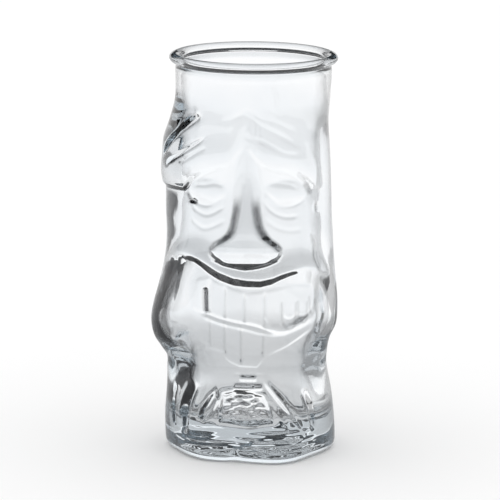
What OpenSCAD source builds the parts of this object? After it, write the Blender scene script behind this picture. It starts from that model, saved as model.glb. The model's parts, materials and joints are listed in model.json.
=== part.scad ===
// Tiki tumbler: one piece of clear pressed and blown glass, with a carved face
// in relief on the front, a round bead rim and a thick two-footed base.
// Millimetres, +Z up, the face looks along -Y, the origin is on the axis of
// the rim where the glass stands. Angles are degrees from the face, and +X
// is the face's left-hand side.

/* [Glass] */
// Height from the table to the top of the bead
mug_h = 155; // [140:1:175]
// Outside diameter of the bead at the mouth
rim_d = 65; // [58:0.5:74]
// Thickness of the wall at the waist and cheeks, added to the moulded wall
wall_extra = 0; // [-0.8:0.1:1]
// Thickness of the glass under the drink, at the middle
floor_t = 12.6; // [9:0.2:16]

/* [Rim] */
// Height of the bead section
bead_h = 3.6; // [2.4:0.1:4.4]
// Radial width of the bead section
bead_w = 4.6; // [4:0.1:6]
// Height of the small ring under the bead
ring_h = 2.2; // [1.6:0.1:2.6]
// How far the faint ring under the bead stands out of the wall
ring_out = 0.2; // [0.1:0.05:1.2]

/* [Face] */
// Depth of the carving, as a share of the full depth
relief_k = 1; // [0.2:0.05:1.2]
// How far the nose stands out of the face
nose_h = 7.4; // [3:0.1:9]
// How far the lips stand out of the face
lip_h = 2.9; // [1:0.1:4]
// How deep the lines between the teeth are cut
tooth_d = 0.5; // [0.1:0.1:1]

/* [Foot] */
// Radius of the rounded heel
heel_r = 3.6; // [2:0.2:5]
// Depth of the push-up under the foot
punt_h = 2.2; // [0.6:0.2:4]

/* [Mesh] */
// Columns of the wall over the carved front half
cols_front = 56; // [24:2:64]
// Columns of the wall over the plain back half
cols_back = 16; // [12:2:32]
// Rows of the carved wall
rows_wall = 60; // [24:1:72]

/* [Hidden] */
sz = mug_h / 155;          // height scale of the design tables
sr = rim_d / 65;           // radius scale of the design tables
z_foot = 20;               // table height where the foot meets the wall
z_neck = 147;              // table height where the wall meets the rim
face_half = 72;            // the carved front spans this angle either side
arc = 0.59;                // millimetres along the wall for one degree
glass = [0.86, 0.91, 0.94, 0.55];

// Stations of the outer wall: height, then the radius every 30 degrees from
// the face round through +X. The jowl on the -X side is the fuller one.
STATIONS = [
    [0,   [31.0, 33.0, 31.5, 32.8, 33.2, 33.2, 33.2, 33.2, 33.2, 33.4, 31.8, 32.6]],
    [8,   [31.6, 33.4, 32.0, 32.6, 33.2, 33.2, 33.2, 33.2, 33.2, 33.6, 32.4, 33.0]],
    [16,  [32.0, 33.2, 33.0, 32.2, 32.4, 32.4, 32.4, 32.4, 32.6, 33.4, 33.2, 33.0]],
    [25,  [31.6, 32.6, 33.4, 31.0, 31.2, 31.2, 31.2, 31.2, 31.4, 32.2, 33.8, 32.6]],
    [33,  [31.2, 32.2, 33.0, 29.4, 30.2, 30.6, 30.6, 30.6, 30.4, 30.9, 34.4, 32.4]],
    [38,  [32.0, 33.0, 33.2, 28.9, 29.9, 30.2, 30.2, 30.2, 30.0, 30.8, 34.6, 33.0]],
    [42,  [33.0, 34.2, 33.9, 29.2, 29.8, 30.0, 30.0, 30.0, 29.8, 31.4, 37.2, 34.4]],
    [47,  [34.0, 36.0, 35.4, 29.5, 30.0, 30.0, 30.0, 30.0, 30.2, 33.9, 40.3, 36.4]],
    [53,  [34.8, 37.2, 38.4, 30.8, 30.4, 30.2, 30.2, 30.2, 30.6, 35.4, 41.3, 37.6]],
    [59,  [35.2, 37.6, 38.8, 31.4, 30.8, 30.4, 30.4, 30.4, 30.9, 34.6, 40.5, 37.6]],
    [66,  [35.2, 37.4, 38.2, 31.5, 30.9, 30.6, 30.6, 30.6, 31.0, 33.6, 38.4, 37.4]],
    [74,  [34.8, 36.8, 36.6, 31.5, 30.9, 30.6, 30.6, 30.6, 30.9, 32.9, 36.0, 36.4]],
    [84,  [33.6, 34.8, 34.8, 31.3, 30.9, 30.6, 30.6, 30.6, 30.8, 32.6, 34.0, 34.2]],
    [94,  [33.0, 34.0, 34.2, 30.8, 30.5, 30.4, 30.4, 30.4, 30.6, 32.9, 34.2, 33.6]],
    [104, [32.6, 33.8, 34.2, 30.4, 30.4, 30.3, 30.3, 30.3, 30.5, 33.0, 34.4, 33.6]],
    [113, [32.6, 34.0, 34.2, 29.8, 30.0, 30.2, 30.2, 30.2, 30.5, 33.8, 35.8, 34.2]],
    [122, [32.2, 33.4, 33.4, 29.4, 29.8, 30.0, 30.0, 30.0, 30.4, 33.8, 35.6, 33.6]],
    [130, [31.4, 32.0, 31.6, 29.2, 29.6, 30.0, 30.0, 30.0, 30.2, 31.7, 32.9, 32.2]],
    [138, [30.4, 30.6, 30.4, 29.6, 29.9, 30.0, 30.0, 30.0, 30.0, 30.1, 30.4, 30.6]],
    [148, [30.1, 30.1, 30.1, 30.1, 30.1, 30.1, 30.1, 30.1, 30.1, 30.1, 30.1, 30.1]],
];
// Stations of the blown inside: height, round radius, and the share of the
// outer wall's swell that the inside follows.
CAVITY = [
    [12, 27.4, 0.00], [20, 27.4, 0.00], [22, 27.3, 0.05], [26, 25.8, 0.20], [34, 24.4, 0.55], [40, 26.0, 0.85],
    [46, 28.2, 1.05], [52, 29.5, 1.12], [58, 29.6, 1.12], [66, 29.0, 1.00], [76, 28.0, 0.80], [86, 27.4, 0.60],
    [100, 27.2, 0.50], [112, 27.2, 0.50], [122, 27.3, 0.45], [132, 27.6, 0.30], [145, 27.8, 0.10], [155, 27.9, 0.00],
];
bowl_r = CAVITY[1][1] * sr - wall_extra;   // radius of the round bowl in the foot
punt_r = 21 * sr;          // radius of the push-up

function clamp(x, a, b) = min(max(x, a), b);
function sstep(a, b, x) = let (t = clamp((x - a) / (b - a), 0, 1)) t * t * (3 - 2 * t);
function bell(u) = exp(-u * u);
function seg(t, z, i = 0) = i >= len(t) - 2 || z < t[i + 1][0] ? i : seg(t, z, i + 1);
// Smooth curve through a table of [x, value], where value is a number or a vector.
function slope(t, i) = i <= 0 || i >= len(t) - 1 ? 0 * t[0][1] : (t[i + 1][1] - t[i - 1][1]) / (t[i + 1][0] - t[i - 1][0]);
function smooth(t, x0) = let (
    x = clamp(x0, t[0][0], t[len(t) - 1][0]), i = seg(t, x), h = t[i + 1][0] - t[i][0], u = (x - t[i][0]) / h)
    (2 * u * u * u - 3 * u * u + 1) * t[i][1] + (u * u * u - 2 * u * u + u) * h * slope(t, i)
    + (3 * u * u - 2 * u * u * u) * t[i + 1][1] + (u * u * u - u * u) * h * slope(t, i + 1);
function signed(th) = (th + 540) % 360 - 180;
function wrap(th) = (th + 720) % 360;
// Outer wall without its carving, at angle th and table height z.
function macro(th, z) = let (
    row = smooth(STATIONS, clamp(z, 0, 148)), a = wrap(th) / 30, i = floor(a), t = a - i,
    p0 = row[(i + 11) % 12], p1 = row[i % 12], p2 = row[(i + 1) % 12], p3 = row[(i + 2) % 12])
    0.5 * (2 * p1 + (p2 - p0) * t + (2 * p0 - 5 * p1 + 4 * p2 - p3) * t * t + (3 * p1 - p0 - 3 * p2 + p3) * t * t * t);
function mean_r(z) = let (r = smooth(STATIONS, clamp(z, 0, 148)))
    (r[0] + r[1] + r[2] + r[3] + r[4] + r[5] + r[6] + r[7] + r[8] + r[9] + r[10] + r[11]) / 12;

// Distance in millimetres from (angle, height) to one straight stroke.
function off_seg(t, z, p, q) = let (
    x = (t - p[0]) * arc, y = z - p[1], dx = (q[0] - p[0]) * arc, dy = q[1] - p[1],
    u = clamp((x * dx + y * dy) / (dx * dx + dy * dy), 0, 1)) norm([x - u * dx, y - u * dy]);
// A soft line through points of [angle, height], w wide, faded at its ends.
function stroke(t, z, pts, w) = t < pts[0][0] - 4 || t > pts[len(pts) - 1][0] + 4 ? 0
    : bell(min([for (i = [0 : len(pts) - 2]) off_seg(t, z, pts[i], pts[i + 1])]) / w)
    * sstep(-1, 5, t - pts[0][0]) * sstep(-1, 5, pts[len(pts) - 1][0] - t);
// A crease cut under a line, steep at the line and coming back below it.
function crease(t, z, pts, w, down) = let (e = lookup(t, pts) - z, n = len(pts) - 1)
    sstep(-0.2 * w, w, e) * bell(max(e - w, 0) / down) * sstep(pts[0][0], pts[0][0] + 8, t) * (1 - sstep(pts[n][0] - 6, pts[n][0], t));

// Forehead: two deep creases at the -X temple and fine wrinkles across.
function forehead(t, z) =
    -2.1 * crease(t, z, [[-68, 119], [-60, 124.4], [-51, 129.6], [-45, 132.4], [-38, 135], [-31, 136]], 2.4, 2.2)
    - 0.9 * crease(t, z, [[-60, 115.6], [-46, 120.2], [-38, 123.4], [-27, 127.6]], 1.6, 1.5)
    - 0.3 * stroke(t, z, [[-47, 115], [-34, 119.9], [-25, 123]], 1.2)
    - 0.2 * stroke(t, z, [[-16, 129.8], [-2, 135.2], [12, 131.4], [23, 128.1], [41, 122.2]], 1.3)
    - 0.2 * stroke(t, z, [[-4, 129.2], [2, 127], [13, 125.4], [28, 120.9], [41, 120.4]], 1.3);
BROW_Z = [[-110, 104.5], [-75, 105], [-60, 105.4], [-43, 105.7], [-40, 107.5], [-36, 110.4], [-29, 113], [-23, 114.4], [-16, 115.3], [-10, 116], [-7, 118.6],
    [-4, 121.6], [0, 123.4], [4, 122], [7, 119.6], [10, 117.6], [14, 116], [20, 114.9], [28, 114.3], [36, 112.9], [42, 110.4], [48, 107.5], [70, 104]];
BROW_H = [[-105, 0], [-90, 0.5], [-75, 1.3], [-55, 1.7], [-44, 1.9], [-36, 1.3], [-14, 1.1], [-6, 0.6], [0, 0.1], [5, 0.6], [12, 1], [30, 1], [37, 1.3], [43, 1], [50, 0.25], [57, 0]];
function brow(t, z) = let (e = z - lookup(t, BROW_Z)) lookup(t, BROW_H) * sstep(-1.2, 1.2, e) * (1 - sstep(3, 14, e));
// Eyes: a closed oval in a shallow socket, with the lid and two bags below it.
function eye(t, z) = let (a = abs(t - 1.5), d = pow((a - 27) / 14.5, 2) + pow((z - 105.6) / 5.4, 2))
    -1.1 * bell((a - 26) / 17) * bell((z - 107) / 8) + 1.35 * pow(clamp(1 - d, 0, 1), 1.3);
function lids(t, z) =
    -0.32 * stroke(t, z, [[-38, 103.2], [-34, 101.1], [-27, 100.5], [-20, 101.9], [-12, 104.6]], 1.1)
    - 0.3 * stroke(t, z, [[-38, 100.4], [-33, 97.8], [-24, 97], [-12, 101]], 1.1)
    - 0.26 * stroke(t, z, [[-38, 95.2], [-33, 92.7], [-25, 91.7], [-11, 95.6]], 1.2)
    - 0.3 * stroke(t, z, [[13, 107.4], [20, 103.1], [26, 101.3], [34, 101.3], [42, 103.2]], 1.1)
    - 0.28 * stroke(t, z, [[12, 104.2], [18, 99.5], [27, 96.8], [39, 96.8]], 1.1)
    - 0.2 * stroke(t, z, [[13, 97], [20, 93.4], [30, 91.4], [41, 91.6]], 1.2);
// Nose: height, half width at the cheek, half width of its front, and how far
// it stands out as a share of the whole.
NOSE = [
    [76, [0.6, 0.1, 0]], [77.6, [6, 0.6, 0.2]], [79.2, [10.4, 3.4, 0.52]], [81, [13.2, 6.4, 0.8]], [83, [14.6, 8.6, 0.95]], [84.8, [14.4, 9, 1]],
    [86.6, [12.8, 7.6, 1]], [88.4, [10.8, 5.6, 0.98]], [90.2, [9.2, 4, 0.94]], [92.4, [8, 2.9, 0.88]], [95, [7.2, 2.2, 0.8]], [99, [6.4, 1.6, 0.63]],
    [102, [6, 1.3, 0.5]], [105, [5.8, 1, 0.37]], [108, [5.5, 0.8, 0.26]], [112, [5.2, 0.5, 0.17]], [118, [4.4, 0.4, 0.1]], [122, [3, 0.3, 0.05]], [125, [1, 0.1, 0]]];
function between(t, x) = let (i = seg(t, x), u = clamp((x - t[i][0]) / (t[i + 1][0] - t[i][0]), 0, 1)) t[i][1] * (1 - u) + t[i + 1][1] * u;
function nose(x, z) = z < 76 || z > 125 ? 0 : let (n = between(NOSE, z)) nose_h * n[2] * sstep(-0.08, 1.08, (n[0] - abs(x)) / max(n[0] - n[1], 0.5));
// Lips: the crest of the upper lip, the foot of its undercut, and its height.
LIP_T = [[-62, 76], [-50, 79.6], [-40, 81.2], [-33, 81.2], [-27, 80.6], [-21, 79], [-14, 76.5], [-5, 74.3], [3, 73.5], [11, 73.4], [18, 74.4], [23, 75.7], [29, 76.7], [38, 77.6], [48, 76.5], [60, 72]];
LIP_B = [[-62, 75], [-50, 78.6], [-40, 79.2], [-33, 78.8], [-27, 77.4], [-21, 75.4], [-14, 72.8], [-5, 70.6], [3, 69.9], [11, 69.9], [18, 71.1], [23, 72.8], [29, 74.4], [38, 75.8], [48, 75], [60, 70.6]];
LIP_H = [[-64, 0], [-52, 0.48], [-38, 0.72], [-25, 0.9], [0, 1], [20, 0.93], [36, 0.76], [50, 0.45], [64, 0]];
LIP_D = [[-44, 0], [-36, 0.5], [-30, 0.95], [-26, 1], [20, 1], [27, 0.75], [34, 0.3], [42, 0]];
function lips(t, z) = let (T = lookup(t, LIP_T), B = lookup(t, LIP_B), H = lip_h * lookup(t, LIP_H), D = lookup(t, LIP_D))
    z > T ? H * bell((z - T) / 4.4)
    : D * (H - (H + 0.7) * clamp((T - z) / (T - B), 0, 1) + (z < B ? 0.7 * sstep(18, 40, B - z) : 0)) + (1 - D) * H * bell((z - T) / 5);
// Teeth: a raised band between the gums and the bite, cut by thin lines.
GUM = [[-30, 71.5], [-27, 72.6], [-22, 73.4], [-15, 71.6], [-6, 69.4], [3, 67.8], [15, 68.7], [21, 69.6], [28, 70.6], [35, 70.9], [42, 70.3], [48, 68]];
BITE = [[-36, 61.5], [-25, 59.6], [-19, 58.4], [-12, 57.1], [-4, 56], [2, 55.5], [9, 54.7], [16, 53.4], [23, 52.4], [32, 52.6], [44, 55]];
UPPER = [[-20.5, 0], [-11, 0], [1.5, 0], [14, 0], [25, 5.6], [32.5, 7.2]];
LOWER = [[-26, 48.2], [-20.5, 46], [-11.5, 43], [-1, 39.4], [13.5, 43]];
function total(v, i = 0) = i >= len(v) ? 0 : v[i] + total(v, i + 1);
function teeth(t, z) = abs(t - 5) > 42 ? 0 : let (g = lookup(t, GUM), b = lookup(t, BITE))
    0.3 * sstep(-33, -27, t) * (1 - sstep(40, 44, t)) * sstep(-0.6, 1, z - b - (t > 25 ? 5.5 : 0)) * sstep(-1, 1.2, g - z)
    - 0.6 * tooth_d * total([for (s = UPPER) bell((t - s[0]) * arc / 0.9) * sstep(0, 2, z - b - s[1]) * sstep(0, 2.5, g - z)])
    - 0.4 * tooth_d * total([for (s = LOWER) bell((t - s[0]) * arc / 0.9) * sstep(0, 3, z - s[1]) * sstep(0, 2, b - 1 - z)])
    - 0.4 * stroke(t, z, [[-27, 60], [-19, 58.4], [-12, 57.1], [-4, 56], [2, 55.5], [9, 54.7], [16, 53.2], [22, 52.4]], 1);
function mouth(t, z) =
    -1.3 * bell((t + 22.8) * arc / 1.1) * sstep(59, 61.5, z) * (1 - sstep(67.5, 70, z))
    + 1.15 * bell((z - lookup(t, [[14, 54.2], [20, 53.6], [26, 53.8], [32, 55.4], [40, 57.9], [50, 59]])) / 1.9) * sstep(12, 20, t) * (1 - sstep(34, 46, t))
    + 0.6 * sstep(-1.2, 1.2, z - lookup(t, [[12, 42], [18, 44], [28, 47.1], [35, 50.1], [42, 53.2]]))
        * (1 - sstep(0, 8, z - lookup(t, [[12, 42], [18, 44], [28, 47.1], [35, 50.1], [42, 53.2]]))) * sstep(12, 21, t) * (1 - sstep(34, 45, t))
    + 0.5 * bell((t + 27) * arc / 3) * bell((z - 66) / 9);
function chin(t, z) = 0.8 * sstep(-0.9, 0.9, z - 33.1) * (1 - sstep(0.9, 4.5, z - 33.1)) * sstep(-4, 0, t) * (1 - sstep(8, 12, t))
    + 1.2 * sstep(-1, 1, z - 29.5) * (1 - sstep(1, 3.6, z - 29.5)) * sstep(-9, -4, t) * (1 - sstep(12, 18, t));
// Shins and feet: a sunk panel between the shins, slanting folds beside it,
// a broad left foot, a narrower right one, and the cleft between them.
function shins(t, z) = let (hw = lookup(z, [[16, 17.5], [18, 17], [27, 13], [29, 9]]))
    -1.2 * sstep(-0.8, 0.8, (hw - abs(t - 1.5)) * arc) * sstep(16.6, 18.4, z) * (1 - sstep(26, 27.8, z))
    + 0.9 * stroke(t, z, [[-31, 18], [-25, 25], [-19, 28.6]], 1.6)
    + 0.9 * stroke(t, z, [[19, 28.2], [27, 22.4], [36, 15.8], [44, 10]], 1.5)
    - 0.8 * stroke(t, z, [[42, 29], [48, 21], [54, 11]], 1.6)
    - 0.9 * stroke(t, z, [[-45, 9], [-43, 16], [-39, 24], [-33, 31]], 1.8);
function feet(t, z) = let (f = 1 - sstep(4, 20, z))
    1.9 * bell((t - 27) / 17) * f + 0.4 * bell((t + 34) / 17) * f - 1.4 * bell((t + 7) / 7) * (1 - sstep(6, 16, z));
function carve(th, z) = let (t = signed(th), x = (t - 2) * PI / 180 * 33, n = nose(x, z))
    abs(t) > 112 ? 0 : relief_k * ((forehead(t, z) + brow(t, z) + eye(t, z) + lids(t, z)) * (1 - sstep(0, 1.5, n)) + n
    + lips(t, z) + mouth(t, z) + teeth(t, z) + chin(t, z) + shins(t, z) + feet(t, z));
function outer(th, z) = macro(th, z) + carve(th, z);
SWELL = [for (c = CAVITY) [c[0], [c[1], c[2]]]];
function inner(th, z) = let (s = smooth(SWELL, clamp(z, 12, 155)))
    s[0] + 1.5 * bell((z - 33) / 8.5) * pow(cos(th), 2) * sstep(20, 24, z) - wall_extra + s[1] * (macro(th, z) - mean_r(z)) * sstep(20, 24, z);

COLS = [for (i = [0 : cols_front - 1]) -face_half + 2 * face_half * i / cols_front,
    for (i = [0 : cols_back - 1]) face_half + (360 - 2 * face_half) * i / cols_back];
// Rows of the wall lie closer together over the face than over the shins and neck.
function row_z(u) = lookup(u, [[0, z_foot], [0.067, 31], [0.383, 74], [0.617, 92], [0.933, 136], [1, z_neck]]);
function ring(fr, z) = [for (th = COLS) let (r = fr(th) * sr) [sin(th) * r, -cos(th) * r, z * sz]];
function flat(v) = [for (r = v) for (p = r) p];

// A closed solid from rings of points. The first and last rings meet when
// closed is true; otherwise each end shrinks to one point on the axis.
module loft(rings, ends = undef) {
    n = len(COLS); m = len(rings);
    tube = [for (i = [0 : m - 2]) for (j = [0 : n - 1]) let (k = (j + 1) % n) each
        [[i * n + j, (i + 1) * n + j, (i + 1) * n + k], [i * n + j, (i + 1) * n + k, i * n + k]]];
    if (is_undef(ends))
        polyhedron(points = flat(rings), faces = concat(tube, [for (j = [0 : n - 1]) let (k = (j + 1) % n, i = m - 1) each
            [[i * n + j, j, k], [i * n + j, k, i * n + k]]]), convexity = 12);
    else
        polyhedron(points = concat(flat(rings), ends), faces = concat(tube,
            [for (j = [0 : n - 1]) let (k = (j + 1) % n) [m * n, j, k]],
            [for (j = [0 : n - 1]) let (k = (j + 1) % n, i = (m - 1) * n) [m * n + 1, i + k, i + j]]), convexity = 12);
}

module foot() {
    color(glass) difference() {
        loft(concat(
            [for (a = [0, 30, 60, 90]) let (z = heel_r * (1 - cos(a))) ring(function(th) outer(th, z / sz) - heel_r * (1 - sin(a)) / sr, z / sz)],
            [for (z = [6, 8.5, 11, 13.5, 16, 18, z_foot]) ring(function(th) outer(th, z), z)]),
            ends = [[0, 0, 0], [0, 0, z_foot * sz]]);
        // bowl of the drink
        rotate_extrude($fn = 96) polygon(concat([[0, z_foot * sz + 1], [bowl_r, z_foot * sz + 1]],
            [for (a = [0 : 9 : 90]) [bowl_r * pow(cos(a), 0.55), z_foot * sz - (z_foot * sz - floor_t) * pow(sin(a), 0.55)]]));
        // push-up under the foot, which leaves one flat ring to stand on
        rotate_extrude($fn = 96) polygon(concat([[0, -1], [punt_r + 0.6, -1]],
            [for (u = [1 : -0.125 : 0]) [punt_r * u, punt_h * (1 - u * u)]]));
    }
}

module face_wall() {
    ZI = [z_foot, 23, 27, 33, 39, 45, 51, 58, 66, 76, 90, 112, z_neck];
    color(glass) loft(concat(
        [for (i = [0 : rows_wall]) let (z = row_z(i / rows_wall)) ring(function(th) outer(th, z), z)],
        [for (i = [len(ZI) - 1 : -1 : 0]) ring(function(th) inner(th, ZI[i]), ZI[i])]));
}

module rim_bead() {
    zc = mug_h - bead_h / 2; rc = (rim_d - bead_w) / 2; zn = z_neck * sz; ro = 30.1 * sr; ri = inner(180, z_neck) * sr;
    color(glass) rotate_extrude($fn = 128) polygon(concat(
        [[ri, zn], [ro, zn], [ro + ring_out * 0.75, zn + 0.4], [ro + ring_out, zn + ring_h * 0.35], [ro + ring_out, zn + ring_h * 0.65],
            [ro + ring_out * 0.6, zn + ring_h * 0.9], [ro, zn + ring_h + 0.3], [ro - 0.1, zc - bead_h / 2 - 0.2]],
        [for (a = [-60 : 15 : 225]) [rc + bead_w / 2 * cos(a), zc + bead_h / 2 * sin(a)]],
        [[inner(180, 150) * sr, zc - bead_h / 2 - 0.6]]));
}

foot();
face_wall();
rim_bead();
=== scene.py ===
import bpy, json, math
import numpy as np
from mathutils import Matrix, Vector

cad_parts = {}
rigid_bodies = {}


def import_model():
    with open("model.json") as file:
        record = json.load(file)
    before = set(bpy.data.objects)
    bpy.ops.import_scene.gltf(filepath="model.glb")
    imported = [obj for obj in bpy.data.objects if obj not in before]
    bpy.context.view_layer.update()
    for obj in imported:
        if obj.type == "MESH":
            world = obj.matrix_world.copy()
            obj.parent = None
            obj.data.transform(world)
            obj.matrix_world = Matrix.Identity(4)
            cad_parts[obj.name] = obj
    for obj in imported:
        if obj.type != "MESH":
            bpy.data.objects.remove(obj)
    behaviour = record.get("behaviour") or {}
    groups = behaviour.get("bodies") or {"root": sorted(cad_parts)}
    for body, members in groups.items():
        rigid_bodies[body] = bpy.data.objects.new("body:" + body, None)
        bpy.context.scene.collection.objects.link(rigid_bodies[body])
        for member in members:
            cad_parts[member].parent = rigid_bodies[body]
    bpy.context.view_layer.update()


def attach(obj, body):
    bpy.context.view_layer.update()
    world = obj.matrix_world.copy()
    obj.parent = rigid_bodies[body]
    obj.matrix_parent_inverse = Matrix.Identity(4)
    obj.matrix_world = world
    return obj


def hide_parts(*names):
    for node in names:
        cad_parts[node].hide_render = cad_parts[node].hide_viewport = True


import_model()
for _n in list(bpy.data.objects):       # the default cube, lamp and camera, if any
    if _n.name in ("Cube", "Light", "Camera"): bpy.data.objects.remove(_n)

# ---------------------------------------------------------------- surface of the tumbler, millimetres
# theta in degrees from the face (-Y), positive towards +X; z up from the standing ring
def clip01(x): return np.clip(x,0,1)
def sstep(a,b,x): t=np.clip((x-a)/(b-a),0,1); return t*t*(3-2*t)
def ramp(a,b,x): return np.clip((x-a)/(b-a),0,1)
def soft(a,b,x,k=0.25):
    "ramp with rounded ends"
    t=(x-a)/(b-a); return np.where(t<k,np.clip(t+k,0,None)**2/(4*k),np.where(t>1-k,1-np.clip(1+k-t,0,None)**2/(4*k),t))*(t>-k)*(t<1+k)+(t>=1+k)
def bell(u): return np.exp(-u*u)
def tab(t,x): t=np.asarray(t,float); return np.interp(x,t[:,0],t[:,1])
# radius without carving at z, every 30 degrees from the face towards +X
STATIONS=[
 [0,  [31.0,33.0,31.5,32.8,33.2,33.2,33.2,33.2,33.2,33.4,31.8,32.6]],
 [8,  [31.6,33.4,32.0,32.6,33.2,33.2,33.2,33.2,33.2,33.6,32.4,33.0]],
 [16, [32.0,33.2,33.0,32.2,32.4,32.4,32.4,32.4,32.6,33.4,33.2,33.0]],
 [25, [31.6,32.6,33.4,31.0,31.2,31.2,31.2,31.2,31.4,32.2,33.8,32.6]],
 [33, [31.2,32.2,33.0,29.4,30.2,30.6,30.6,30.6,30.4,30.9,34.4,32.4]],
 [38, [32.0,33.0,33.2,28.9,29.9,30.2,30.2,30.2,30.0,30.8,34.6,33.0]],
 [42, [33.0,34.2,33.9,29.2,29.8,30.0,30.0,30.0,29.8,31.4,37.2,34.4]],
 [47, [34.0,36.0,35.4,29.5,30.0,30.0,30.0,30.0,30.2,33.9,40.3,36.4]],
 [53, [34.8,37.2,38.4,30.8,30.4,30.2,30.2,30.2,30.6,35.4,41.3,37.6]],
 [59, [35.2,37.6,38.8,31.4,30.8,30.4,30.4,30.4,30.9,34.6,40.5,37.6]],
 [66, [35.2,37.4,38.2,31.5,30.9,30.6,30.6,30.6,31.0,33.6,38.4,37.4]],
 [74, [34.8,36.8,36.6,31.5,30.9,30.6,30.6,30.6,30.9,32.9,36.0,36.4]],
 [84, [33.6,34.8,34.8,31.3,30.9,30.6,30.6,30.6,30.8,32.6,34.0,34.2]],
 [94, [33.0,34.0,34.2,30.8,30.5,30.4,30.4,30.4,30.6,32.9,34.2,33.6]],
 [104,[32.6,33.8,34.2,30.4,30.4,30.3,30.3,30.3,30.5,33.0,34.4,33.6]],
 [113,[32.6,34.0,34.2,29.8,30.0,30.2,30.2,30.2,30.5,33.8,35.8,34.2]],
 [122,[32.2,33.4,33.4,29.4,29.8,30.0,30.0,30.0,30.4,33.8,35.6,33.6]],
 [130,[31.4,32.0,31.6,29.2,29.6,30.0,30.0,30.0,30.2,31.7,32.9,32.2]],
 [138,[30.4,30.6,30.4,29.6,29.9,30.0,30.0,30.0,30.0,30.1,30.4,30.6]],
 [148,[30.1,30.1,30.1,30.1,30.1,30.1,30.1,30.1,30.1,30.1,30.1,30.1]],
]
CAVITY=[[12,27.4,0],[18,27.6,0],[20,27.4,0],[26,25.8,0.2],[34,24.4,0.55],[40,26.0,0.85],[46,28.2,1.05],[52,29.5,1.12],[58,29.6,1.12],[66,29.0,1.0],
 [76,28.0,0.8],[86,27.4,0.6],[100,27.2,0.5],[112,27.2,0.5],[122,27.3,0.45],[132,27.6,0.3],[145,27.8,0.1],[155,27.9,0.0]]
def smooth(xs,ys,x):
    xs=np.asarray(xs,float); ys=np.asarray(ys,float); x=np.clip(x,xs[0],xs[-1])
    i=np.clip(np.searchsorted(xs,x,side='right')-1,0,len(xs)-2)
    m=np.zeros_like(ys); m[1:-1]=(ys[2:]-ys[:-2])/((xs[2:]-xs[:-2]).reshape(-1,*([1]*(ys.ndim-1))))
    h=xs[i+1]-xs[i]; t=(x-xs[i])/h
    if ys.ndim>1: t=t[...,None]; h=h[...,None]
    return (2*t**3-3*t**2+1)*ys[i]+(t**3-2*t**2+t)*h*m[i]+(3*t**2-2*t**3)*ys[i+1]+(t**3-t**2)*h*m[i+1]
SZ=[s[0] for s in STATIONS]; SR=[s[1] for s in STATIONS]
def macro(th,z):
    rows=smooth(SZ,SR,np.clip(z,0,148)); a=np.mod(th,360)/30.0
    i=np.floor(a).astype(int); t=a-i
    at=lambda k: np.take_along_axis(rows,np.mod(k,12)[...,None],-1)[...,0]
    p0,p1,p2,p3=at(i-1),at(i),at(i+1),at(i+2)
    return 0.5*(2*p1+(p2-p0)*t+(2*p0-5*p1+4*p2-p3)*t*t+(3*p1-p0-3*p2+p3)*t**3)
def mean_r(z): return smooth(SZ,SR,np.clip(z,0,148)).mean(-1)
# distance to a polyline given in (deg, mm), in mm, with the position along it (0..1)
K=0.59
def track(t,z,pts):
    p=np.asarray(pts,float)*[K,1]; x=t*K; best=np.full(np.shape(t),1e9); pos=np.zeros(np.shape(t))
    L=np.r_[0,np.cumsum(np.hypot(*(p[1:]-p[:-1]).T))]
    for i in range(len(p)-1):
        d=p[i+1]-p[i]; l2=(d**2).sum(); u=clip01(((x-p[i,0])*d[0]+(z-p[i,1])*d[1])/l2)
        q=np.hypot(x-p[i,0]-u*d[0],z-p[i,1]-u*d[1]); m=q<best; best=np.where(m,q,best); pos=np.where(m,(L[i]+u*np.sqrt(l2))/L[-1],pos)
    return best,pos
def curve(pts,n=5):
    "the same points joined by a smooth curve"
    p=np.asarray(pts,float); m=np.empty_like(p); m[1:-1]=(p[2:]-p[:-2])/2; m[0]=p[1]-p[0]; m[-1]=p[-1]-p[-2]; out=[]
    for i in range(len(p)-1):
        for k in range(n):
            q=k/n; out.append((2*q**3-3*q*q+1)*p[i]+(q**3-2*q*q+q)*m[i]+(3*q*q-2*q**3)*p[i+1]+(q**3-q*q)*m[i+1])
    return out+[p[-1]]
def line(t,z,pts,depth,w,taper=0.18):
    q,u=track(t,z,curve(pts) if len(pts)>2 else pts); return depth*bell(q/w)*sstep(0,taper,u)*sstep(0,taper,1-u)
def inside(t,z,pts):
    "signed distance in mm to a closed outline, positive inside"
    p=np.asarray(pts,float); q,_=track(t,z,list(pts)+[pts[0]]); ins=np.zeros(np.shape(t),bool); n=len(p)
    for i in range(n):
        x0,y0=p[i]; x1,y1=p[(i+1)%n]
        c=((y0>z)!=(y1>z))&(t<(x1-x0)*(z-y0)/((y1-y0)+1e-12)+x0); ins^=c
    return np.where(ins,q,-q)
def notch(t,z,pts,w,down,depth,taper=0.2):
    "V-shaped crease: cut w mm wide under the line pts, coming back over down mm"
    p=np.asarray(pts,float); e=np.interp(t,p[:,0],p[:,1])-z; u=(t-p[0,0])/(p[-1,0]-p[0,0])
    return -depth*soft(0,w,e)*bell(np.maximum(e-w,0)/down)*sstep(0,taper,u)*sstep(0,taper,1-u)
def fold(t,z,lo,w,amp,up):
    "skin fold: steep underside w mm wide above the line lo, falling away over up mm"
    e=z-tab(lo,t); A=tab(amp,t)
    return A*np.where(e<w,soft(0,w,e),1.0)*bell(np.maximum(e-w,0)/up)
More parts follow.
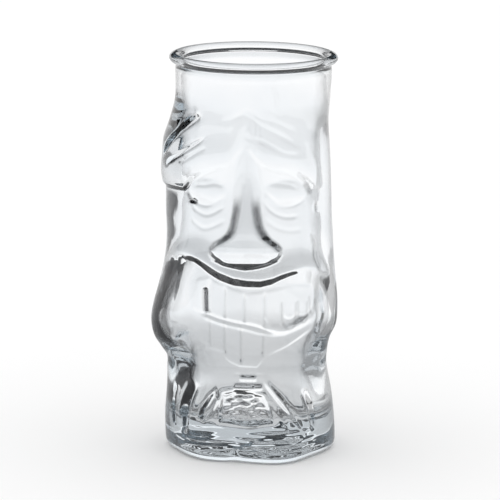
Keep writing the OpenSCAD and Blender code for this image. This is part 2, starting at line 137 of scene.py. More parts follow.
def forehead(t,z):
    h=notch(t,z,[(-68,119.0),(-60,124.4),(-51,129.6),(-45,132.4),(-38,135.0),(-31,136.0)],2.2,1.9,2.3,0.24)
    h=h+notch(t,z,[(-60,115.6),(-46,120.2),(-38,123.4),(-27,127.6)],1.2,1.1,1.15,0.2)
    h=h-line(t,z,[(-47,115.0),(-34,119.9),(-25,123.0)],0.35,0.9)
    h=h+0.2*line(t,z,[(-58,127.6),(-49,131.9),(-37,137.2)],1.0,1.6)
    h=h-line(t,z,[(-20,131.5),(-6,134.8),(2,136.8),(12,134.1),(22,132.4),(38,128.2)],0.12,1.0)
    h=h-line(t,z,[(-16,129.8),(-2,135.2),(12,131.4),(23,128.1),(41,122.2)],0.16,1.0)
    h=h-line(t,z,[(-4,129.2),(2,127),(13,125.4),(28,120.9),(41,120.4)],0.16,1.0)
    return h
BROW_L=[[-110,104.5],[-75,105.0],[-60,105.4],[-51,105.7],[-43,105.7],[-40,107.5],[-36,110.4],[-29,113],[-23,114.4],[-16,115.3],[-10,116],[-7,118.6],[-4,121.6],[0,123.4],
        [4,122],[7,119.6],[10,117.6],[14,116],[20,114.9],[28,114.3],[36,112.9],[42,110.4],[48,107.5],[70,104]]
BROW_A=[[-105,0],[-90,0.5],[-75,1.1],[-55,1.2],[-44,1.4],[-36,1.1],[-14,1.1],[-6,0.6],[0,0.1],[5,0.6],[12,1.0],[30,1.0],[37,1.3],[43,1.0],[50,0.25],[57,0]]
def brow(t,z):
    e=z-tab(BROW_L,t); w=tab([[-90,1.4],[-40,1.6],[-30,2.2],[30,2.2],[38,1.8],[90,1.8]],t)
    return tab(BROW_A,t)*soft(-w/2,w/2,e)*(1-sstep(3,14,e))
def eye(t,z):
    a=np.abs(t-1.5); d=((a-27.0)/14.5)**2+((z-105.6)/5.4)**2
    h=-1.1*bell((a-26)/17)*bell((z-107)/8)+1.35*np.clip(1-d,0,1)**1.3
    h=h-0.7*bell(np.hypot((t+36.6)*K/1.5,(z-101.4)/0.8))
    h=h-0.3*bell(np.hypot((t-44.4)*K/1.6,(z-107.0)/1.8))-0.3*bell(np.hypot((t-50.8)*K/1.2,(z-99.4)/1.7))
    return h-line(t,z,[(46.4,89.5),(47.8,85),(46.2,80),(47.6,75.5)],0.25,1.0)
def lids(t,z):
    h=-line(t,z,[(-37,106.6),(-33,107.9),(-27,108.2),(-20,109.0),(-13,108)],0.26,0.75)
    h=h-line(t,z,[(-38,103.2),(-34,101.1),(-27,100.5),(-20,101.9),(-12,104.6)],0.36,0.75)
    h=h-line(t,z,[(-38,100.4),(-33,97.8),(-24,97.0),(-12,101)],0.30,0.8)
    h=h-line(t,z,[(-38,95.2),(-33,92.7),(-25,91.7),(-11,95.6)],0.26,0.9)
    h=h-line(t,z,[(13,107.4),(20,103.1),(26,101.3),(34,101.3),(42,103.2)],0.28,0.8)
    h=h-line(t,z,[(12,104.2),(18,99.5),(27,96.8),(39,96.8)],0.26,0.8)
    h=h-line(t,z,[(13,97),(20,93.4),(30,91.4),(41,91.6)],0.18,0.9)
    h=h-line(t,z,[(14,109.8),(22,109.6),(32,108.4),(38,106.4)],0.14,0.8)
    return h
NOSE=[ # z, outer half width left, inner half width left, outer right, inner right, height
 [76.6,0.6,0.1,0.6,0.1,0.0],[77.4,5.0,0.4,5.8,0.4,1.3],[78.8,9.4,3.4,9.2,3.2,3.6],[80.4,12.1,6.4,12.0,6.8,5.5],[82.6,13.7,9.0,13.3,9.6,6.7],[84.6,13.8,10.6,13.3,10.4,7.2],[86.4,12.4,9.0,12.0,8.8,7.2],
 [88.4,9.4,5.9,9.4,6.4,7.0],[90,7.8,4.1,8.2,4.8,6.8],[92,6.9,2.9,7.1,3.7,6.5],[94,6.4,2.4,6.5,2.9,6.1],[96,6.1,2.1,6.2,2.4,5.6],[98,5.8,1.9,5.9,2.1,5.05],[100,5.6,1.6,5.7,1.8,4.45],[102,5.4,1.4,5.5,1.6,3.85],[104,5.3,1.2,5.4,1.4,3.25],[106,5.2,1.0,5.3,1.2,2.7],
 [108,5.1,0.9,5.2,1.0,2.2],[110,5.0,0.7,5.1,0.8,1.75],[112,4.9,0.6,4.9,0.6,1.38],[114,4.7,0.5,4.7,0.5,1.08],[116,4.5,0.5,4.5,0.5,0.84],[118,4.2,0.4,4.2,0.4,0.62],[120,3.7,0.4,3.7,0.4,0.42],[122,3.0,0.3,3.0,0.3,0.25],[125,1.0,0.1,1.0,0.1,0.0]]
def nose(x,z):
    n=np.asarray(NOSE); g=[np.interp(z,n[:,0],n[:,i]) for i in range(1,6)]
    b=np.where(x<0,g[0],g[2]); c=np.where(x<0,g[1],g[3]); ax=np.abs(x)
    f=soft(0,1,(b-ax)/np.maximum(b-c,0.3),0.2)
    crown=1+0.05*np.clip(1-(ax/np.maximum(c,0.5))**2,-1,1)*sstep(90,84,z)
    return np.where((z>76.4)&(z<125),g[4]*np.clip(f,0,1)*crown,0)
LIP_T=[[-62,76],[-50,79.6],[-40,81.2],[-33,81.2],[-27,80.6],[-21,79.0],[-14,76.5],[-5,74.3],[3,73.5],[11,73.4],[18,74.4],[23,75.7],[29,76.7],[38,77.6],[48,76.5],[60,72]]
LIP_B=[[-62,75],[-50,78.6],[-40,79.2],[-33,78.4],[-27,76.5],[-21,74.1],[-14,71.8],[-5,70.2],[3,69.9],[11,69.9],[18,71.1],[23,72.8],[29,74.4],[38,75.8],[48,75.0],[60,70.6]]
LIP_H=[[-64,0],[-52,1.4],[-38,2.1],[-25,3.1],[-10,3.2],[0,3.0],[20,2.7],[36,2.2],[50,1.3],[64,0]]
LIP_D=[[-44,0],[-36,0.5],[-30,0.95],[-26,1],[20,1],[27,0.75],[34,0.3],[42,0]]
def lips(t,z):
    T,B,H,D=[tab(q,t) for q in (LIP_T,LIP_B,LIP_H,LIP_D)]
    up=H*bell((z-T)/4.4)
    e=T-z; u=soft(0,1,e/(T-B),0.12); steep=H-(H+0.7)*u
    steep=np.where(z<B-0.4,-0.7*(1-sstep(18,40,B-z)),steep)
    gentle=H*bell((z-T)/5.0)
    low=D*steep+(1-D)*gentle
    return np.where(z>T,up,low)
GUM=[[-30,71.5],[-27,72.6],[-22,73.4],[-15,71.6],[-6,69.4],[3,67.8],[15,68.7],[21,69.6],[28,70.6],[35,70.9],[42,70.3],[48,68]]
BITE=[[-36,61.5],[-25,59.6],[-19,58.4],[-12,57.1],[-4,56.0],[2,55.5],[9,54.7],[16,53.4],[23,52.4],[32,52.6],[44,55]]
SEPU=[(-20.5,0),(-11,0),(1.5,0),(14,0),(25,5.6),(32.5,7.2)]
SEPL=[(-26,48.2),(-20.5,46),(-11.5,43),(-1,39.4),(13.5,43)]
def teeth(t,z):
    g=tab(GUM,t); b=tab(BITE,t)
    lo=b+np.where(t>25,7.6-2.2*(1-((t-28.7)/4.2)**2)*(t<32.5)-2.0*(1-((t-37)/4.6)**2)*(t>=32.5),np.where(t>14,4.8-3.6*clip01(1-((t-19.5)/5.6)**2),0))
    win=sstep(-33,-27,t)*(1-sstep(40,44,t))
    h=0.30*win*sstep(-0.6,1.0,z-lo)*sstep(-1.0,1.2,g-z)
    for s,k in SEPU:
        h=h-(0.62 if s<20 else 0.0)*bell((t-s)*K/0.62)*sstep(0,2.0,z-b-k)*sstep(0,2.5,g-z)
    h=h-line(t,z,[(-27,60),(-19,58.4),(-12,57.1),(-4,56),(2,55.5),(9,54.7),(16,53.2),(22,52.4)],0.42,0.7,0.1)
    h=h+line(t,z,[(-25,58.4),(-12,55.8),(2,54.1),(14,52.2)],0.25,0.8,0.1)
    for s,k in SEPL:
        h=h-(0.0 if s<-23 else 0.2 if s<-15 else 0.4)*bell((t-s)*K/0.8)*sstep(0,3,z-k)*sstep(0,2.0,b-1-z)
    low=tab([[-30,50],[-26,48.4],[-20.5,46.2],[-20.4,45.6],[-11.5,44.4],[-11.4,42.0],[-8,40.4],[-2,38.8],[10,38.6],[13.4,41.4],[13.5,44],[20,45]],t)
    h=h+0.45*sstep(-0.9,0.9,z-low)*(1-sstep(0,7,z-low))*sstep(-29,-14,t)*(1-sstep(12,15,t))
    return h
def mouth(t,z):
    q,u=track(t,z,[(-22.6,60.6),(-22.9,68.4)])
    h=-1.35*np.clip(1.25-q,0,None)/1.25
    mid=tab([[14,54.2],[20,53.6],[26,53.8],[32,55.4],[40,57.9],[50,59]],t)
    h=h+1.15*bell((z-mid)/1.9)*sstep(12,20,t)*(1-sstep(34,46,t))
    low=tab([[12,42],[18,44],[28,47.1],[35,50.1],[42,53.2]],t)
    h=h+0.6*sstep(-1.2,1.2,z-low)*(1-sstep(0,8,z-low))*sstep(12,21,t)*(1-sstep(34,45,t))
    h=h+0.5*bell(((t+27)*K)/3.0)*bell((z-66)/9)
    return h
def chin(t,z):
    h=0.95*soft(-0.4,0.4,z-33.1)*(1-sstep(0.4,3.0,z-33.1))*sstep(-3,-0.5,t)*(1-sstep(8,10.5,t))
    h=h+1.2*soft(-0.5,0.5,z-29.5)*(1-sstep(0.5,2.8,z-29.5))*sstep(-7,-4,t)*(1-sstep(12,15,t))
    h=h-0.25*bell((z-35.3)/0.5)*sstep(-9,-4,t)*(1-sstep(12,17,t))
    return h
WIN=[(-13,27.2),(-6,28.2),(6,27.8),(14,26.4),(18,21.5),(19.5,17.6),(4,17.0),(-15,17.6),(-15,22)]
LEAF=[(-19,29.2),(-24.5,26),(-29.5,21.4),(-32,17.2),(-27,16.4),(-21.5,19.4),(-17,25.0)]
def legs(t,z):
    d=inside(t,z,WIN); h=-1.3*soft(-0.7,0.7,d)
    h=h+soft(-0.2,1.2,d)*(0.32*np.sin((t-3)*0.5+0.9*np.sin(z*0.8))*np.sin(z*1.25+t*0.16)+0.26*np.sin(z*2.5-t*0.33+1.1*np.sin(t*0.4))+0.14*np.sin(z*3.9+t*0.12+0.8*np.sin(t*0.9)))
    h=h+0.45*bell((d+1.3)/1.1)
    d=inside(t,z,LEAF); h=h+0.8*bell((d-0.2)/0.7)-0.7*soft(0.8,2.0,d)
    h=h+fold(t,z,[[12,33],[19,28.2],[27,22.4],[36,15.8],[42,11.0],[46,8]],1.6,[[14,0],[19,1.1],[38,0.9],[46,0]],2.6)
    h=h-line(t,z,[(17,25.6),(24,19.6),(34,12.0)],0.45,0.8)
    h=h-line(t,z,[(42,29),(48,21),(54,11)],0.9,1.2)
    h=h-line(t,z,[(-33,31),(-39,24),(-43,16),(-45,9)],1.1,1.5)
    h=h+line(t,z,[(-37,32),(-45,24),(-50,15)],0.5,1.5)
    h=h-line(t,z,[(-50,30),(-56,20),(-58,10)],0.5,1.4)
    return h
def feet(t,z):
    f=1-sstep(4,20,z)
    h=1.9*bell((t-27)/17)*f+0.4*bell((t+34)/17)*f-1.4*bell((t+7)/7)*(1-sstep(6,16,z))
    g=sstep(3.2,7,z)*(1-sstep(14,19,z))*bell(t/62)
    h=h+g*tab([[-70,0.35],[-20,0.5],[0,1],[40,1],[60,0.4]],t)*(0.15*np.sin(t*0.2+1.2)*np.sin(z*0.9+t*0.05)+0.10*np.sin(z*2.1+0.06*t+1.3*np.sin(t*0.11))+0.07*np.sin(z*3.3-0.05*t+0.9*np.sin(t*0.17+1)))
    return h
# painted shade: dark strokes along the deepest cuts (mouth slit, eye and brow marks, cheek line), as (points, reach mm,
# fade mm, strength)
PAINTED_SHADE_STROKES=[([(-22.6,60.6),(-22.9,68.4)],0.75,0.3,0.97),([(-40.6,103.6),(-38.2,101.4),(-34.8,101.0)],0.8,0.6,0.85),([(42.4,108.4),(45.4,105.8)],1.1,1.2,0.6),([(50.4,100.4),(51,98.6)],0.8,0.9,0.6),([(46.4,89.0),(47.8,85),(46.2,80),(47.6,76)],0.6,0.8,0.45)]
# painted shade: dark lines round the right-hand teeth and between the teeth, as (points, strength)
TOOTH_SHADE_LINES=[([(24,64),(24.2,58.5),(26,54.9),(28.7,54.0),(31,55.2),(32.2,58.5),(32.5,64)],0.34),([(33.6,64.5),(33.8,59.8),(35.2,57.0),(37,56.4),(38.6,58.2),(39.2,64)],0.34),([(40.6,66),(40.8,61.6),(42,59.6),(43.6,60.2),(44.4,65)],0.3),
 ([(-11,58.4),(-11,69)],0.2),([(1.5,57),(1.5,67)],0.2),([(14,55.4),(14,67.4)],0.2),([(-20.5,46.5),(-20.5,57)],0.2),([(-11.5,44),(-11.5,56)],0.22),([(-1,40),(-1,54.4)],0.24),([(13.5,43),(13.5,52.6)],0.24)]
def crease(t,z):
    """painted shade: how dark the bottom of the sharpest cuts, the gaps round the teeth and the nose flanks are made,
    0..1
    """
    c=np.zeros(np.shape(t))
    for pts,w,e,a in PAINTED_SHADE_STROKES:
        q,_=track(t,z,pts); c=np.maximum(c,a*clip01((w+e/2-q)/e))
    for pts,a in TOOTH_SHADE_LINES:
        q,_=track(t,z,curve(pts,3) if len(pts)>2 else pts); c=np.maximum(c,a*bell(q/0.5))
    # painted shade down both flanks of the nose
    n=np.asarray(NOSE); x=np.radians(t-2.0)*33; g=[np.interp(z,n[:,0],n[:,i]) for i in range(1,5)]
    b=np.where(x<0,g[0],g[2]); k=np.where(x<0,g[1],g[3]); u=clip01((b-np.abs(x))/np.maximum(b-k,0.3))
    return np.maximum(c,0.97*(4*u*(1-u))**0.6*sstep(106,100,z)*(0.25+0.75*sstep(83,90,z))*sstep(77.5,80,z))
def waves(t,z):
    "unevenness of pressed glass"
    return 0.035*np.sin(0.083*t+0.31*z)*np.sin(0.19*z-0.05*t+1.0)+0.03*np.sin(0.047*t-0.14*z+2.2)+0.018*np.sin(0.31*t+0.9)*np.sin(0.45*z+0.7)
def carve(t,z):
    x=np.radians(t-2.0)*33
    skin=forehead(t,z)+brow(t,z)+eye(t,z)+lids(t,z)
    n=nose(x,z); skin=skin*(1-sstep(0.0,1.5,n))+n
    return skin+lips(t,z)+mouth(t,z)+teeth(t,z)+chin(t,z)+legs(t,z)+feet(t,z)
def outer(th,z):
    t=np.mod(th+180,360)-180
    return macro(t,z)+carve(t,z)*(np.abs(t)<112)+waves(t,z)*sstep(0,6,z)*(1-sstep(140,147,z))
def inner(th,z):
    c=np.asarray(CAVITY); zz=np.clip(z,12,155)
    r0=smooth(c[:,0],c[:,1],zz); k=smooth(c[:,0],c[:,2],zz); t=np.mod(th+180,360)-180
    r0=r0+1.5*bell((zz-33)/8.5)*np.cos(np.radians(t))**2
    return r0+k*(macro(t,np.clip(z,0,148))-mean_r(z))+(0.03*np.sin(0.05*t+0.11*z)+0.02*np.sin(0.1*z-0.07*t))*sstep(20,26,z)*(1-sstep(130,145,z))
BOWL_R=27.4; FLOOR_Z=12.6; PUNT_R=21.0; PUNT_H=2.2; HEEL=3.6
NECK=[(30.1,147.0),(30.14,147.6),(30.2,148.3),(30.14,149.0),(30.04,149.6),(30.0,150.2),(30.05,150.9)]
BEAD=(30.2,153.2,2.3,1.8)
def floor_wave(th,r,z):
    u=np.radians(th); x=np.sin(u)*r; y=-np.cos(u)*r
    return 0.26*np.sin(1.0*y+0.11*x+0.4+0.8*np.sin(0.17*x))*(0.65+0.35*np.sin(0.23*x+1.0))+0.15*np.sin(1.75*y-0.2*x)+0.14*np.sin(0.42*x+0.3*y+1.3)
def rings(nf,nb,no,ni):
    thf=np.linspace(-72,72,nf,endpoint=False); thb=np.linspace(72,288,nb,endpoint=False)
    th=np.concatenate([thf,thb]); th=((th+180)%360)-180; n=len(th); R=[];Z=[]
    def add(r,z): R.append(np.broadcast_to(np.asarray(r,float),(n,)).copy()); Z.append(np.broadcast_to(np.asarray(z,float),(n,)).copy())
    for u in np.linspace(0,1,26)[1:]: r=PUNT_R*u; add(r,PUNT_H*(1-u*u)+0.55*floor_wave(th,r*1.3,0)*sstep(0,0.12,u)*(1-sstep(0.8,1,u)))
    o0=outer(th,np.zeros(n))-HEEL
    for f in (0.5,1.0): add(PUNT_R+(o0-PUNT_R)*f,0)
    for a in np.linspace(0,90,9)[1:]:
        a=np.radians(a); z=HEEL*(1-np.cos(a)); add(outer(th,np.full(n,z))-HEEL*(1-np.sin(a)),z)
    for z in np.linspace(HEEL,147,no)[1:-1]: add(outer(th,np.full(n,z)),z)
    for r,z in NECK: add(r,z)
    for a in np.linspace(-62,238,40): t=np.radians(a); add(BEAD[0]+BEAD[2]*np.cos(t),BEAD[1]+BEAD[3]*np.sin(t))
    for z in (151.0,149.0): add(inner(th,np.full(n,z)),z)
    for z in np.linspace(147,20,ni): add(inner(th,np.full(n,z)),z)
    for t in np.linspace(0,1,34)[1:-1]:
        a=t*np.pi/2; r=BOWL_R*np.cos(a)**0.55; add(r,20-(20-FLOOR_Z)*np.sin(a)**0.55+floor_wave(th,r,0)*(1-sstep(0.75,0.97,r/BOWL_R))*sstep(0,0.15,r/BOWL_R)*0.8)
    return th,np.array(R),np.array(Z)
def mesh(nf=290,nb=80,no=330,ni=74):
    th,R,Z=rings(nf,nb,no,ni); t=np.radians(th); rows,n=R.shape
    V=np.stack([np.sin(t)*R,-np.cos(t)*R,Z],-1).reshape(-1,3); idx=np.arange(rows*n).reshape(rows,n)
    F=np.stack([idx[:-1],np.roll(idx[:-1],-1,1),np.roll(idx[1:],-1,1),idx[1:]],-1).reshape(-1,4)
    bc=len(V); V=np.vstack([V,[0,0,PUNT_H],[0,0,FLOOR_Z]])
    T=np.vstack([np.stack([np.roll(idx[0],-1),idx[0],np.full(n,bc)],-1),np.stack([idx[-1],np.roll(idx[-1],-1),np.full(n,bc+1)],-1)])
    return V,F,T

# ---------------------------------------------------------------- the glass, one closed skin
def build_mug():
    V, F, T = mesh()
    V = V/1000.0
    me = bpy.data.meshes.new("tiki_glass")
    me.vertices.add(len(V)); me.vertices.foreach_set("co", V.astype(np.float32).ravel())
    loops = np.concatenate([F.ravel(), T.ravel()]); me.loops.add(len(loops)); me.loops.foreach_set("vertex_index", loops.astype(np.int32))
    nf = len(F)+len(T)
    starts = np.concatenate([np.arange(len(F))*4, len(F)*4+np.arange(len(T))*3]).astype(np.int32)
    me.polygons.add(nf); me.polygons.foreach_set("loop_start", starts)
    me.update(calc_edges=True); me.validate()
    me.polygons.foreach_set("use_smooth", np.ones(nf, bool)); me.update()
    t = np.degrees(np.arctan2(V[:, 0], -V[:, 1])); z = V[:, 2]*1000; r = np.hypot(V[:, 0], V[:, 1])*1000
    # painted shade in the sharpest cuts, stored per vertex near the carved face as the crease attribute
    dark = np.zeros(len(V)); near = (z > 38) & (z < 115) & (np.abs(t) < 60)
    near[near] = np.abs(r[near]-outer(t[near], z[near])) < 0.4
    dark[near] = crease(t[near], z[near])
    me.attributes.new("crease", "FLOAT", "POINT").data.foreach_set("value", dark.astype(np.float32))
    ob = bpy.data.objects.new("tiki_glass", me); bpy.context.collection.objects.link(ob)
    return ob

def new_material(name):
    m = bpy.data.materials.new(name); m.use_nodes = True
    m.node_tree.nodes.clear()
    return m, m.node_tree.nodes.new, m.node_tree.links.new

def ramp_node(new, stops, interpolation="LINEAR"):
    r = new("ShaderNodeValToRGB"); e = r.color_ramp.elements
    r.color_ramp.interpolation = interpolation
    while len(e) > 1: e.remove(e[-1])
    for i, (p, c) in enumerate(stops):
        c = (c, c, c) if not isinstance(c, (tuple, list)) else c
        q = e[0] if i == 0 else e.new(p)
        q.position = p; q.color = (*c, 1)
    return r

def glass_material():
    m, new, link = new_material("soda_lime_glass")
    out = new("ShaderNodeOutputMaterial"); b = new("ShaderNodeBsdfPrincipled")
    b.inputs["IOR"].default_value = 1.52
    b.inputs["Transmission Weight"].default_value = 1.0
    tc = new("ShaderNodeTexCoord")
    # colour: nearly clear, with faint streaks of the melt, and painted shade: darker where the skin turns away from
    # view
    streak = new("ShaderNodeTexNoise"); streak.inputs["Scale"].default_value = 22; streak.inputs["Detail"].default_value = 3; streak.inputs["Roughness"].default_value = 0.5
    stretch = new("ShaderNodeMapping"); stretch.inputs["Scale"].default_value = (1.0, 1.0, 0.35)
    link(tc.outputs["Object"], stretch.inputs["Vector"]); link(stretch.outputs[0], streak.inputs["Vector"])
    tint = ramp_node(new, [(0.30, (0.955, 0.965, 0.975)), (0.70, (1.0, 1.0, 1.0))])
    link(streak.outputs["Fac"], tint.inputs["Fac"])
    # painted shade: the glass colour darkens as the surface turns away from view
    lw = new("ShaderNodeLayerWeight"); lw.inputs["Blend"].default_value = 0.5
    grazing_shade = ramp_node(new, GRAZING_SHADE)
    link(lw.outputs["Facing"], grazing_shade.inputs["Fac"])
    mul = new("ShaderNodeMix"); mul.data_type = "RGBA"; mul.blend_type = "MULTIPLY"; mul.inputs["Factor"].default_value = 1.0
    link(tint.outputs["Color"], mul.inputs["A"]); link(grazing_shade.outputs["Color"], mul.inputs["B"])
    # painted shade: the crease attribute pulls the base colour towards near black in the sharpest cuts
    at = new("ShaderNodeAttribute"); at.attribute_name = "crease"
    cut = new("ShaderNodeMix"); cut.data_type = "RGBA"; cut.inputs["B"].default_value = (0.015, 0.015, 0.018, 1)
    link(at.outputs["Fac"], cut.inputs["Factor"]); link(mul.outputs["Result"], cut.inputs["A"])
    link(cut.outputs["Result"], b.inputs["Base Color"])
    # roughness: fire-polished, a little cloudier in patches and on the foot that has been stood on
    cloud = new("ShaderNodeTexNoise"); cloud.inputs["Scale"].default_value = 60; cloud.inputs["Detail"].default_value = 4
    link(tc.outputs["Object"], cloud.inputs["Vector"])
    rr = ramp_node(new, [(0.45, 0.0), (0.75, 0.018)])
    link(cloud.outputs["Fac"], rr.inputs["Fac"])
    sep = new("ShaderNodeSeparateXYZ"); link(tc.outputs["Object"], sep.inputs[0])
    foot = new("ShaderNodeMapRange"); foot.inputs["From Min"].default_value = 0.0; foot.inputs["From Max"].default_value = 0.0012; foot.inputs["To Min"].default_value = 0.12; foot.inputs["To Max"].default_value = 0.0
    link(sep.outputs["Z"], foot.inputs["Value"])
    add = new("ShaderNodeMath"); add.operation = "ADD"; link(rr.outputs["Color"], add.inputs[0]); link(foot.outputs[0], add.inputs[1])
    link(add.outputs[0], b.inputs["Roughness"])
    # bump: the faint orange-peel of pressed glass, and fine scuffs
    peel = new("ShaderNodeTexNoise"); peel.inputs["Scale"].default_value = 150; peel.inputs["Detail"].default_value = 2; peel.inputs["Roughness"].default_value = 0.45
    link(tc.outputs["Object"], peel.inputs["Vector"])
    bump = new("ShaderNodeBump"); bump.inputs["Strength"].default_value = 0.35; bump.inputs["Distance"].default_value = 0.00009
    link(peel.outputs["Fac"], bump.inputs["Height"]); link(bump.outputs[0], b.inputs["Normal"])
    link(b.outputs[0], out.inputs["Surface"])
    vol = new("ShaderNodeVolumeAbsorption"); vol.inputs["Color"].default_value = (*VOL_COL, 1); vol.inputs["Density"].default_value = VOL_D
    link(vol.outputs[0], out.inputs["Volume"])
    return m

# ---------------------------------------------------------------- stage: floor, dark surround, light
def stage_object(name, verts, faces, material, glass_only=True):
    me = bpy.data.meshes.new(name); me.from_pydata(verts, [], faces)
    o = bpy.data.objects.new(name, me); bpy.context.collection.objects.link(o); me.materials.append(material)
    if glass_only:          # seen only through the glass and in it
        o.visible_camera = False; o.visible_diffuse = False; o.visible_shadow = False
    return o

def disc(r, z, n=96):
    return [(r*math.cos(2*math.pi*i/n), r*math.sin(2*math.pi*i/n), z) for i in range(n)], [tuple(range(n))]

def wall(r, a0, a1, z0, z1, n=48):
    """upright curved wall; azimuths in degrees from the line of sight, + to its right"""
    V, F = [], []
    for i in range(n+1):
        a = math.radians(a0+(a1-a0)*i/n) - math.radians(CAM_AZ)
        V += [(math.sin(a)*r, math.cos(a)*r, z0), (math.sin(a)*r, math.cos(a)*r, z1)]
    for i in range(n): F.append((2*i, 2*i+2, 2*i+3, 2*i+1))
    return V, F

def emission(name, value):
    m, new, link = new_material(name)
    out = new("ShaderNodeOutputMaterial"); e = new("ShaderNodeEmission"); e.inputs[0].default_value = (value, value, value*1.03, 1)
    link(e.outputs[0], out.inputs[0])
    return m

def floor_material():
    m, new, link = new_material("floor_paper")
    out = new("ShaderNodeOutputMaterial"); b = new("ShaderNodeBsdfPrincipled"); b.inputs["Roughness"].default_value = 1.0; b.inputs["Specular IOR Level"].default_value = 0.0
    b.inputs["Base Color"].default_value = (FLOOR, FLOOR, FLOOR, 1)
    link(b.outputs[0], out.inputs[0])
    return m

def glow_material():
    """the floor as the glass sees it, a glowing disc with painted shade: dimmer close to the glass"""
    m, new, link = new_material("floor_seen_through_glass")
    out = new("ShaderNodeOutputMaterial"); e = new("ShaderNodeEmission"); tc = new("ShaderNodeTexCoord"); ln = new("ShaderNodeVectorMath"); ln.operation = "LENGTH"
    link(tc.outputs["Object"], ln.inputs[0])
    r = ramp_node(new, [(p, (c*0.985 if c < 1 else c, c*0.998, c*1.01 if c < 1 else c)) for p, c in FLOOR_GLOW_SHADE])
    link(ln.outputs["Value"], r.inputs["Fac"]); link(r.outputs["Color"], e.inputs[0]); link(e.outputs[0], out.inputs[0])
    return m

def grid_material():
    """light-control grid round the glass: lets light through square on and stops it at a slant"""
    m, new, link = new_material("honeycomb_grid")
    out = new("ShaderNodeOutputMaterial"); lw = new("ShaderNodeLayerWeight"); lw.inputs["Blend"].default_value = 0.5
    tc = new("ShaderNodeTexCoord"); sep = new("ShaderNodeSeparateXYZ"); link(tc.outputs["Object"], sep.inputs[0])
    def mapz(x0, x1, y0, y1, src=None, smooth=True):
        n = new("ShaderNodeMapRange"); n.interpolation_type = "SMOOTHSTEP" if smooth else "LINEAR"
        n.inputs["From Min"].default_value = x0; n.inputs["From Max"].default_value = x1; n.inputs["To Min"].default_value = y0; n.inputs["To Max"].default_value = y1
        link(src if src is not None else sep.outputs["Z"], n.inputs["Value"]); return n.outputs[0]
    def math2(op, a, b):
        n = new("ShaderNodeMath"); n.operation = op
        for k, v in ((0, a), (1, b)):
            if isinstance(v, (int, float)): n.inputs[k].default_value = v
            else: link(v, n.inputs[k])
        return n.outputs[0]
    def slant(t0, t1): return mapz(t0, t1, 0, 1, lw.outputs["Facing"])
    # the cut-off follows the width of the bore with height
    hz = new("ShaderNodeMapRange"); hz.inputs["From Min"].default_value = 0; hz.inputs["From Max"].default_value = 0.16; link(sep.outputs["Z"], hz.inputs["Value"])
    cut = ramp_node(new, [(z/0.16, c) for z, c in GRID_CUT]); link(hz.outputs[0], cut.inputs["Fac"])
    def above_cut(extra, width): return mapz(0.0, width, 0, 1, math2("SUBTRACT", math2("SUBTRACT", lw.outputs["Facing"], cut.outputs["Color"]), extra))
    # the two parts of the ring that the grid stands in, either side of the far side
    nrm = new("ShaderNodeVectorMath"); nrm.operation = "NORMALIZE"; comb = new("ShaderNodeCombineXYZ")
    link(sep.outputs["X"], comb.inputs[0]); link(sep.outputs["Y"], comb.inputs[1]); link(comb.outputs[0], nrm.inputs[0])
    def sector(az):
        a = math.radians(az) - math.radians(CAM_AZ)
        dot = new("ShaderNodeVectorMath"); dot.operation = "DOT_PRODUCT"
        link(nrm.outputs[0], dot.inputs[0]); dot.inputs[1].default_value = (math.sin(a), math.cos(a), 0)
        return mapz(GRID_SPAN[0], GRID_SPAN[1], 0, 1, dot.outputs["Value"])
    left, right = sector(GRID_AZ[0]), sector(GRID_AZ[1])
    low = mapz(GRID_Z[0], GRID_Z[1], 1, 0)
    top = mapz(0.117, 0.126, 1, 0)
    op_left = math2("MAXIMUM", math2("MULTIPLY", low, above_cut(0.0, 0.02)), math2("MULTIPLY", math2("MULTIPLY", top, 0.85), slant(*GRID_B)))
    op_left = math2("MAXIMUM", op_left, math2("MULTIPLY", slant(0.20, 0.25), GRID_NECK))
    op_right = math2("MULTIPLY", above_cut(0.028, 0.022), GRID_RO)
    op_right = math2("MULTIPLY", op_right, mapz(0.118, 0.128, 1, 0.25))
    l = math2("MULTIPLY", op_left, left); r = math2("MULTIPLY", op_right, right)
    op = math2("ADD", l, r)
    tr = new("ShaderNodeBsdfTransparent"); e = new("ShaderNodeEmission"); e.inputs[0].default_value = (0.012, 0.012, 0.014, 1)
    mix = new("ShaderNodeMixShader"); link(op, mix.inputs[0]); link(tr.outputs[0], mix.inputs[1]); link(e.outputs[0], mix.inputs[2]); link(mix.outputs[0], out.inputs[0])
    return m

def camera():
    az = math.radians(CAM_AZ); D = 1.45; pitch = math.radians(11.2264); roll = math.radians(0.44)
    cam = bpy.data.cameras.new("cam"); co = bpy.data.objects.new("cam", cam); bpy.context.collection.objects.link(co)
    cam.sensor_width = 36; cam.lens = 274.6; cam.clip_end = 100; cam.dof.use_dof = False
    fwd = Vector((-math.sin(az)*math.cos(pitch), math.cos(az)*math.cos(pitch), -math.sin(pitch)))
    fwd = Matrix.Rotation(math.radians(0.033), 3, "Z") @ fwd
    right = fwd.cross(Vector((0, 0, 1))).normalized(); up = right.cross(fwd)
    r2 = right*math.cos(roll)+up*math.sin(roll); u2 = -right*math.sin(roll)+up*math.cos(roll)
    M = Matrix((r2, u2, -fwd)).transposed().to_4x4(); M.translation = Vector((math.sin(az)*D, -math.cos(az)*D, 0.3655))
    co.matrix_world = M
    bpy.context.scene.camera = co

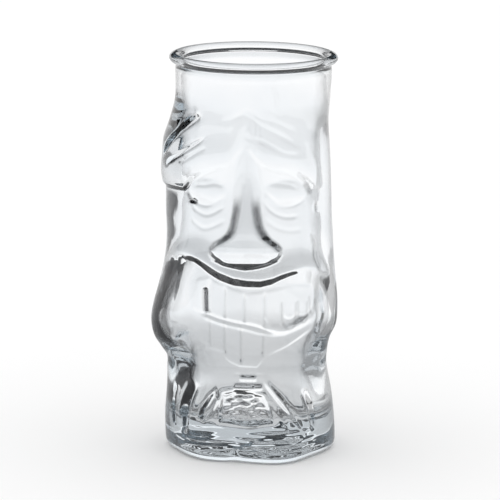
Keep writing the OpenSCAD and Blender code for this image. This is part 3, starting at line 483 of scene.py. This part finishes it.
CAM_AZ = 6.0
# painted shade: glass colour against Layer Weight facing, darker towards grazing view
GRAZING_SHADE = [(0.0, 1.0), (0.48, 1.0), (0.64, 0.72), (0.78, 0.34), (1.0, 0.10)]
VOL_COL = (0.80, 0.86, 0.90); VOL_D = 16
FLOOR = 0.95
# painted shade: brightness of the glowing floor disc by distance from the glass, dimmer close to it
FLOOR_GLOW_SHADE = [(0.0, 0.62), (0.10, 0.64), (0.20, 0.70), (0.27, 0.80), (0.35, 0.90), (0.50, 0.97), (0.80, 1.02), (1.0, 1.04)]
GRID_CUT = [(0.0, 0.20), (0.008, 0.17), (0.020, 0.155), (0.031, 0.16), (0.0373, 0.215), (0.0433, 0.31), (0.050, 0.345), (0.056, 0.335), (0.061, 0.295), (0.067, 0.255), (0.075, 0.235), (0.16, 0.228)]
GRID_AZ = (-82.0, 80.0); GRID_SPAN = (0.77, 0.92); GRID_Z = (0.097, 0.101); GRID_B = (0.305, 0.33); GRID_NECK = 0.18; GRID_RO = 0.5
RING = [(0.9, -180, 180, 0.27, 3.0, 0.03)]
WORLD = 1.08

mug = build_mug()
mug.data.materials.append(glass_material())
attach(mug, "root"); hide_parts("foot", "face_wall", "rim_bead")

paper = stage_object("floor", *disc(8.0, 0.0), floor_material(), glass_only=False)
paper.visible_transmission = False; paper.visible_glossy = False
# glowing disc seen only through the glass, with painted shade close to the glass
stage_object("floor_glow", *disc(7.9, -0.0002), glow_material())
for i, c in enumerate(RING):
    stage_object("dark_ring_%d" % i, *wall(*c[:5]), emission("dark_%d" % i, c[5]))
g = stage_object("grid_ring", *wall(0.046, -180, 180, 0.0005, 0.152, 180), grid_material())
g.data.polygons.foreach_set("use_smooth", np.ones(len(g.data.polygons), bool)); g.visible_glossy = False

w = bpy.data.worlds.new("soft_studio"); bpy.context.scene.world = w; w.use_nodes = True
w.node_tree.nodes.clear()
_o = w.node_tree.nodes.new("ShaderNodeOutputWorld"); _b = w.node_tree.nodes.new("ShaderNodeBackground")
_b.inputs[0].default_value = (1, 1, 1, 1); _b.inputs[1].default_value = WORLD
w.node_tree.links.new(_b.outputs[0], _o.inputs[0])

sc = bpy.context.scene
sc.view_settings.view_transform = "Standard"; sc.view_settings.look = "None"; sc.view_settings.exposure = 0; sc.view_settings.gamma = 1
sc.cycles.max_bounces = 32; sc.cycles.transmission_bounces = 32; sc.cycles.glossy_bounces = 16; sc.cycles.transparent_max_bounces = 32
sc.cycles.caustics_reflective = True; sc.cycles.caustics_refractive = True; sc.cycles.blur_glossy = 0.0
sc.cycles.use_denoising = True
camera()
